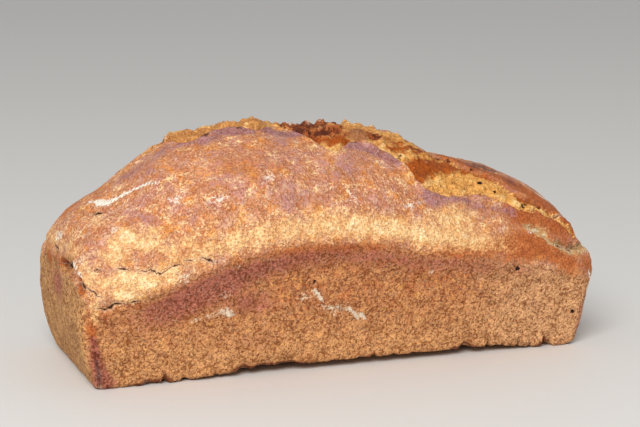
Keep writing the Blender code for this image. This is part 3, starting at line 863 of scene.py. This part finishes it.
def cloud(tree, point, size, shift=0.0, detail=3.0, rough=0.6, reach=0.2):
    """Noise for features of a size in mm, spread to run from 0 to 1. Small reach makes it starker."""
    moved = shifted(tree, point, shift)
    inputs = {"Vector": moved, "Scale": 1 / (size * MM), "Detail": detail, "Roughness": rough}
    raw = place(tree, "ShaderNodeTexNoise", inputs).outputs["Fac"]
    limits = {"Value": raw, "From Min": 0.5 - reach, "From Max": 0.5 + reach}
    return place(tree, "ShaderNodeMapRange", limits).outputs[0]


# %% [markdown]
# ## Oven grain
#
# Crust and crumb share one grain. Bread skin is made of round grains, 1 to 2 mm wide, with darker gaps
# between them, partly painted shade, and a pale speck on some. Around those, every larger size has its
# lighter and darker parts.

# %% Build the grain group
grain = bpy.data.node_groups.new("oven_grain", "ShaderNodeTree")
grain.interface.new_socket("Point", in_out="INPUT", socket_type="NodeSocketVector")
for name in ("Tone", "Drift", "Specks", "Gaps", "Height"):
    grain.interface.new_socket(name, in_out="OUTPUT", socket_type="NodeSocketFloat")
spot = place(grain, "NodeGroupInput").outputs["Point"]


def grains(tree, point, size, shift):
    """Round cells of a size in mm: how far from the cell's middle a point is, and the cell's own number."""
    stir = {"Vector": point, "Scale": 1 / (size * MM), "Detail": 1.0}
    stirred = place(tree, "ShaderNodeTexNoise", stir).outputs["Color"]
    inputs = {0: stirred, 1: (0.6 * size * MM,) * 3, 2: point}
    uneven = place(tree, "ShaderNodeVectorMath", inputs, operation="MULTIPLY_ADD").outputs[0]
    inputs = {"Vector": shifted(tree, uneven, shift), "Scale": 1 / (size * MM)}
    cell = place(tree, "ShaderNodeTexVoronoi", inputs)
    number = place(tree, "ShaderNodeSeparateColor", {0: cell.outputs["Color"]}).outputs[0]
    return cell.outputs["Distance"], number


broad = cloud(grain, spot, 7.0, 0.0, 4.0, 0.9, 0.14)
fine = cloud(grain, spot, 1.15, 0.31, 2.0, 0.85, 0.16)
tone = calc(grain, "ADD", calc(grain, "MULTIPLY", broad, 0.42), calc(grain, "MULTIPLY", fine, 0.58))
grain_gap, _ = grains(grain, spot, 1.6, 0.11)
speck_gap, speck_number = grains(grain, spot, 1.25, 0.53)
gaps = fade(grain, calc(grain, "ADD", grain_gap, calc(grain, "MULTIPLY", tone, -0.45)), 0.3, 0.6)
specks = calc(grain, "MULTIPLY", fade(grain, speck_gap, 0.52, 0.26), fade(grain, speck_number, 0.62, 0.72))
height = calc(grain, "SUBTRACT", calc(grain, "ADD", calc(grain, "MULTIPLY", tone, 1.2), specks), gaps)
drift = calc(grain, "SUBTRACT", broad, 0.5)
results = {"Tone": tone, "Drift": drift, "Specks": specks, "Gaps": gaps, "Height": height}
place(grain, "NodeGroupOutput", results)
print("grain:", len(grain.nodes), "nodes")

# %% [markdown]
# ## The crust's finish
#
# The finish starts from two skins, the dome's and the tin wall's. Browning, mauve bloom and gold go over
# them, with painted highlight in the gold and painted shade in the browning, then the torn crumb, with
# painted highlight on its crags and painted shade in its clefts. The grain then lightens and darkens all of
# that at once, so it runs on through every patch, and its gaps are partly painted shade. Flour lies on top,
# then painted shade behind the lips, and cracks and pores come last, since they are holes in all the rest.
# Their dark is painted shade, and the cracks' rims are a painted highlight.

# %% Start the crust's material
crust_paint = bpy.data.materials.new("baked_crust")
crust_paint.use_nodes = True
crust = crust_paint.node_tree
shader = crust.nodes["Principled BSDF"]
point = place(crust, "ShaderNodeTexCoord").outputs["Object"]
crust_grain = place(crust, "ShaderNodeGroup", node_tree=grain)
crust.links.new(point, crust_grain.inputs["Point"])
grain_tone = crust_grain.outputs["Tone"]
unrest = calc(crust, "SUBTRACT", grain_tone, 0.5)
drifting = calc(crust, "ADD", unrest, calc(crust, "MULTIPLY", crust_grain.outputs["Drift"], 0.7))


def field(name):
    return place(crust, "ShaderNodeAttribute", attribute_name=name).outputs["Fac"]


def times(value, share):
    return calc(crust, "MULTIPLY", value, share)


def frayed(value, fray):
    return calc(crust, "ADD", value, times(unrest, fray))


def ragged(name, fray, low, high, most=1.0):
    """A painted mask with its edge frayed by the grain, and limited to a share. Bare crust stays bare."""
    mask = field(name)
    fringe = times(times(drifting, fray), fade(crust, mask, 0.0, 0.25))
    return times(fade(crust, calc(crust, "ADD", mask, fringe), low, high), most)


def two_tone(base, other, size, shift, fray, low, high):
    """Patches of another tone in a skin, their edges frayed by the grain."""
    patch = cloud(crust, point, size, shift, 5, 0.75, 0.16)
    return tint(crust, base, other, fade(crust, frayed(patch, fray), low, high))


def layered(skin, layers):
    """Lays tints over a skin, the last one on top. A layer is (colour, mask)."""
    for colour, mask in layers:
        skin = tint(crust, skin, colour, mask)
    return skin


# %% Colour of the two skins
TERRACOTTA = (0.58, 0.245, 0.115)
ORANGE = (0.72, 0.265, 0.042)
ROSE = (0.53, 0.25, 0.19)
EMBER = (0.5, 0.155, 0.045)
STRAW = (0.84, 0.55, 0.27)
TIN_TAN = (0.56, 0.245, 0.096)
TIN_RED = (0.49, 0.165, 0.057)
TIN_AMBER = (0.66, 0.3, 0.075)
TIN_SAND = (0.66, 0.34, 0.135)
TIN_CREAM = (0.68, 0.37, 0.175)
END_WALL_TAN = (0.55, 0.29, 0.11)

on_crown = fade(crust, field("over_rim"), -4.0, 4.0)
dome_skin = two_tone(TERRACOTTA, ORANGE, 9, 0.11, 0.5, 0.35, 1.0)
dome_skin = two_tone(dome_skin, ROSE, 13, 0.23, 0.6, 0.3, 1.0)
dome_skin = two_tone(dome_skin, EMBER, 6, 0.67, 0.5, 0.62, 1.25)
dome_skin = two_tone(dome_skin, STRAW, 5, 0.47, 0.9, 0.52, 1.15)
wall_skin = two_tone(TIN_TAN, TIN_RED, 7, 0.83, 0.6, 0.3, 0.95)
wall_skin = two_tone(wall_skin, TIN_AMBER, 5, 0.71, 0.6, 0.6, 1.2)
wall_skin = layered(wall_skin, (
    (TIN_SAND, times(fade(crust, field("height_up"), 46.0, 6.0), 0.7)),
    (TIN_CREAM, times(fade(crust, field("along"), 55.0, 105.0), 0.7)),
    (END_WALL_TAN, times(field("end_wall"), 0.85)),
))
skin = tint(crust, wall_skin, dome_skin, on_crown)

# %% Browning over the skins, with painted highlight and painted shade among it
RED_BROWN = (0.45, 0.12, 0.028)
PURPLE_BROWN = (0.39, 0.124, 0.08)
MAUVE = (0.37, 0.165, 0.155)
GOLD = (0.9, 0.55, 0.225)
PAINTED_HIGHLIGHT_GOLD = (0.97, 0.77, 0.45)
RAW_BROWN_AND_SHADE = (0.22, 0.066, 0.024)
SCORCH_AND_SHADE_BROWN = (0.13, 0.047, 0.04)

skin = layered(skin, (
    (RED_BROWN, ragged("red", 0.9, 0.0, 0.95, 0.95)),
    # Purple brown, partly painted shade under the rim.
    (PURPLE_BROWN, ragged("dark", 0.6, 0.0, 1.05, 0.92)),
    (MAUVE, ragged("mauve", 0.7, 0.15, 1.0, 0.95)),
    # Gold is partly a painted highlight, and pale gold is wholly a painted highlight on the brightest gold.
    (GOLD, ragged("gold", 0.45, 0.0, 1.05, 0.95)),
    (PAINTED_HIGHLIGHT_GOLD, ragged("gold", 0.7, 0.7, 1.5, 0.9)),
    # Raw brown crumb, partly painted shade under the broken edge and in the hollows.
    (RAW_BROWN_AND_SHADE, ragged("raw_crumb_and_shade", 0.8, 0.3, 0.8, 0.95)),
    # Scorched crust, and painted shade on the far crown.
    (SCORCH_AND_SHADE_BROWN, ragged("scorch_and_shade", 1.4, 0.2, 1.2, 0.9)),
))

# %% The torn crumb, with painted highlight on its crags and painted shade between them
CRUMB_BROWN = (0.56, 0.215, 0.05)
CRUMB_TAN = (0.72, 0.39, 0.125)
LIP_GOLD = (0.82, 0.5, 0.16)
BAKED_AMBER = (0.56, 0.25, 0.075)
YOLK = (0.86, 0.44, 0.105)
CRAG_TOP_HIGHLIGHT = (0.9, 0.62, 0.26)
RUST = (0.37, 0.073, 0.004)
BURNT_ORANGE = (0.42, 0.095, 0.018)
TOAST = (0.33, 0.125, 0.05)
CHAR = (0.09, 0.018, 0.007)
CLEFT_SHADE = (0.3, 0.085, 0.02)
CRUMB_CREAM = (0.74, 0.54, 0.39)

crumb_hue = cloud(crust, point, 6, 0.37, 4, 0.75, 0.13)
crumb_skin = tint(crust, CRUMB_BROWN, CRUMB_TAN, crumb_hue)
near_lip = fade(crust, field("in_tear"), 5.0, 0.5)
to_the_left = fade(crust, field("along"), -20.0, -36.0)
to_the_right = fade(crust, field("along"), 22.0, 55.0)
# Painted light: a straw highlight on the crag tops, and painted shade in the clefts between crags.
lit_crag_tops = fade(crust, frayed(field("crag"), 0.4), 0.35, 0.75)
shaded_clefts = fade(crust, frayed(field("crag"), 0.3), 0.14, 0.0)
crumb_skin = layered(crumb_skin, (
    (LIP_GOLD, times(near_lip, 0.7)),
    (BAKED_AMBER, times(to_the_left, 0.8)),
    (YOLK, times(to_the_right, 0.6)),
    (CRAG_TOP_HIGHLIGHT, times(lit_crag_tops, 0.7)),
    (RUST, ragged("rust", 0.6, 0.15, 0.7, 0.97)),
    (BURNT_ORANGE, ragged("burnt", 0.5, 0.15, 0.7, 0.9)),
    (TOAST, ragged("toasted", 0.4, 0.0, 0.7, 0.92)),
    (CHAR, ragged("burnt", 1.5, 0.5, 1.15, 0.95)),
    (CLEFT_SHADE, times(shaded_clefts, 0.45)),
    (CRUMB_CREAM, ragged("crumb_tip", 0.6, 0.25, 0.95, 0.85)),
))
in_crumb = fade(crust, frayed(field("in_tear"), 4.2), -0.7, 1.0)
skin = tint(crust, skin, crumb_skin, in_crumb)

# %% The shoulder's crevice: cream crumb, with a dark line under its upper lip
CREVICE_CREAM = (0.78, 0.68, 0.42)
CREVICE_BROWN = (0.6, 0.3, 0.09)
UNDER_LIP_SHADE = (0.1, 0.035, 0.015)

in_crevice = fade(crust, frayed(field("crevice"), 2.2), 1.4, 0.8)
crevice_hue = cloud(crust, point, 3.4, 0.61, 3, 0.7, 0.12)
crevice_skin = tint(crust, CREVICE_CREAM, CREVICE_BROWN, crevice_hue)
under_lip = fade(crust, frayed(field("over_crevice"), 5.0), 0.7, 1.8)
crevice_skin = tint(crust, crevice_skin, UNDER_LIP_SHADE, times(under_lip, 0.85))
skin = tint(crust, skin, crevice_skin, times(in_crevice, 0.9))

# %% Grain over everything: reddish in its shade, painted shade in the gaps between grains, and less grain where the crust is gold, partly painted highlight
WALL_SHADE = (0.46, 0.31, 0.2)
WALL_LIGHT = (1.62, 1.72, 1.84)
DOME_SHADE = (0.74, 0.54, 0.4)
DOME_LIGHT = (1.4, 1.53, 1.7)
GAP_SHADE_BROWN = (0.5, 0.28, 0.15)
SPECK_CREAM = (0.95, 0.72, 0.54)

shade_grain = tint(crust, WALL_SHADE, DOME_SHADE, on_crown)
light_grain = tint(crust, WALL_LIGHT, DOME_LIGHT, on_crown)
smooth_crust = calc(crust, "MAXIMUM", times(ragged("gold", 0, 0, 1), 0.62), times(in_crumb, 0.4))
grain_share = calc(crust, "SUBTRACT", 1.1, smooth_crust)
evened = calc(crust, "ADD", 0.5, times(unrest, grain_share))
skin = tint(crust, skin, tint(crust, shade_grain, light_grain, evened), 1.0, "MULTIPLY")
# Painted shade in the gaps between grains, deeper on the wall than on the dome.
gap_shade_depth = calc(crust, "SUBTRACT", 0.66, times(on_crown, 0.54))
skin = tint(crust, skin, GAP_SHADE_BROWN, times(crust_grain.outputs["Gaps"], gap_shade_depth), "MULTIPLY")
without_specks = calc(crust, "MAXIMUM", in_crumb, ragged("red", 0.5, 0.0, 0.5, 1.0))
pale_skin = calc(crust, "SUBTRACT", 1.0, without_specks)
speck_share = times(calc(crust, "ADD", 0.16, times(on_crown, 0.16)), pale_skin)
skin = tint(crust, skin, SPECK_CREAM, times(crust_grain.outputs["Specks"], speck_share))

# %% Flour, painted shade behind the lips, and cracks and pores with painted shade and painted highlight
FLOUR_ON_WALL = (0.88, 0.74, 0.56)
FLOUR_ON_DOME = (0.95, 0.88, 0.76)
LIP_SHADE_BROWN = (0.09, 0.026, 0.01)
CRACK_RIM_HIGHLIGHT = (0.8, 0.6, 0.4)
CRACK_WALL_SHADE = (0.26, 0.105, 0.045)
CRACK_SHADE = (0.045, 0.017, 0.01)
PORE_SHADE = (0.028, 0.01, 0.006)

flour_hue = tint(crust, FLOUR_ON_WALL, FLOUR_ON_DOME, on_crown)
skin = tint(crust, skin, flour_hue, ragged("flour", 1.0, 0.28, 1.1, 0.97))
# Painted shade behind the lips of the tear.
skin = tint(crust, skin, LIP_SHADE_BROWN, ragged("shade_behind_lips", 0.8, 0.35, 0.9, 0.95))
opening = times(cloud(crust, point, 2.6, 0.91, 2, 0.6, 0.16), 0.5)
opened = times(calc(crust, "ADD", 0.12, opening), field("crack_open"))
wavy = calc(crust, "SUBTRACT", cloud(crust, point, 3.2, 0.19, 2, 0.6, 0.2), 0.5)
beside = calc(crust, "ABSOLUTE", calc(crust, "ADD", field("crack_side"), wavy))
inside = calc(crust, "SUBTRACT", opened, beside)
# The pale crack rims are a painted highlight. The cracks' sides and insides, and the pores, are painted
# shade.
skin = layered(skin, (
    (CRACK_RIM_HIGHLIGHT, times(fade(crust, frayed(inside, 1.2), -1.3, -0.3), 0.4)),
    (CRACK_WALL_SHADE, fade(crust, inside, -0.3, 0.0)),
    (CRACK_SHADE, fade(crust, inside, -0.02, 0.3)),
    (PORE_SHADE, fade(crust, frayed(field("pore_gap"), 0.7), 1.1, 0.8)),
))
crust.links.new(skin, shader.inputs["Base Color"])

# %% Sheen of the dome and the dry wall, and the finest relief
gloss = times(on_crown, times(cloud(crust, point, 9, 0.41, 3, 0.6, 0.2), 0.22))
crust.links.new(calc(crust, "SUBTRACT", 0.84, gloss), shader.inputs["Roughness"])
shader.inputs["Specular IOR Level"].default_value = 0.22
relief_in = {"Height": crust_grain.outputs["Height"], "Strength": 0.8, "Distance": 0.5 * MM}
crust.links.new(place(crust, "ShaderNodeBump", relief_in).outputs["Normal"], shader.inputs["Normal"])
loaf_mesh.materials.append(crust_paint)
print("crust:", len(crust.nodes), "nodes")

# %% [markdown]
# ## Table and light
#
# The table is plain and pale. One large soft lamp at the upper left stands for a window, and an even pale
# room fills its shadows.

# %% Table
TABLE_HALF = 3.0
TABLE_COLOUR = (0.72, 0.71, 0.69, 1)
TABLE_ROUGHNESS = 0.6

table_mesh = bpy.data.meshes.new("table_top")
around = ((-1, -1), (1, -1), (1, 1), (-1, 1))
corners = [(right * TABLE_HALF, back * TABLE_HALF, 0) for right, back in around]
table_mesh.from_pydata(corners, [], [(0, 1, 2, 3)])
table_paint = bpy.data.materials.new("pale_table")
table_paint.use_nodes = True
table_look = table_paint.node_tree.nodes["Principled BSDF"].inputs
table_look["Base Color"].default_value = TABLE_COLOUR
table_look["Roughness"].default_value = TABLE_ROUGHNESS
table_mesh.materials.append(table_paint)
table = put_in_scene("table_top", table_mesh)
print("table:", round(2 * TABLE_HALF), "m wide")

# %% Light
LOAF_MIDDLE = Vector((0, 0, 0.06))
WINDOW_PLACE = (-0.9, -1.5, 1.5)
WINDOW_SIZE = 1.3
WINDOW_POWER = 45
WINDOW_COLOUR = (1.0, 0.98, 0.95)
ROOM_COLOUR = (0.9, 0.9, 0.9, 1)
ROOM_STRENGTH = 0.53

window_data = bpy.data.lights.new("window_light", "AREA")
window_data.shape = "DISK"
window_data.size = WINDOW_SIZE
window_data.energy = WINDOW_POWER
window_data.color = WINDOW_COLOUR
window = put_in_scene("window_light", window_data)
window.location = WINDOW_PLACE
to_loaf = LOAF_MIDDLE - Vector(WINDOW_PLACE)
window.rotation_euler = to_loaf.to_track_quat("-Z", "Y").to_euler()

world = bpy.data.worlds.new("studio")
world.use_nodes = True
room = world.node_tree.nodes["Background"].inputs
room["Color"].default_value = ROOM_COLOUR
room["Strength"].default_value = ROOM_STRENGTH
bpy.context.scene.world = world
bpy.context.scene.view_settings.view_transform = "Standard"
print("window light, m from the loaf:", round(to_loaf.length, 2))
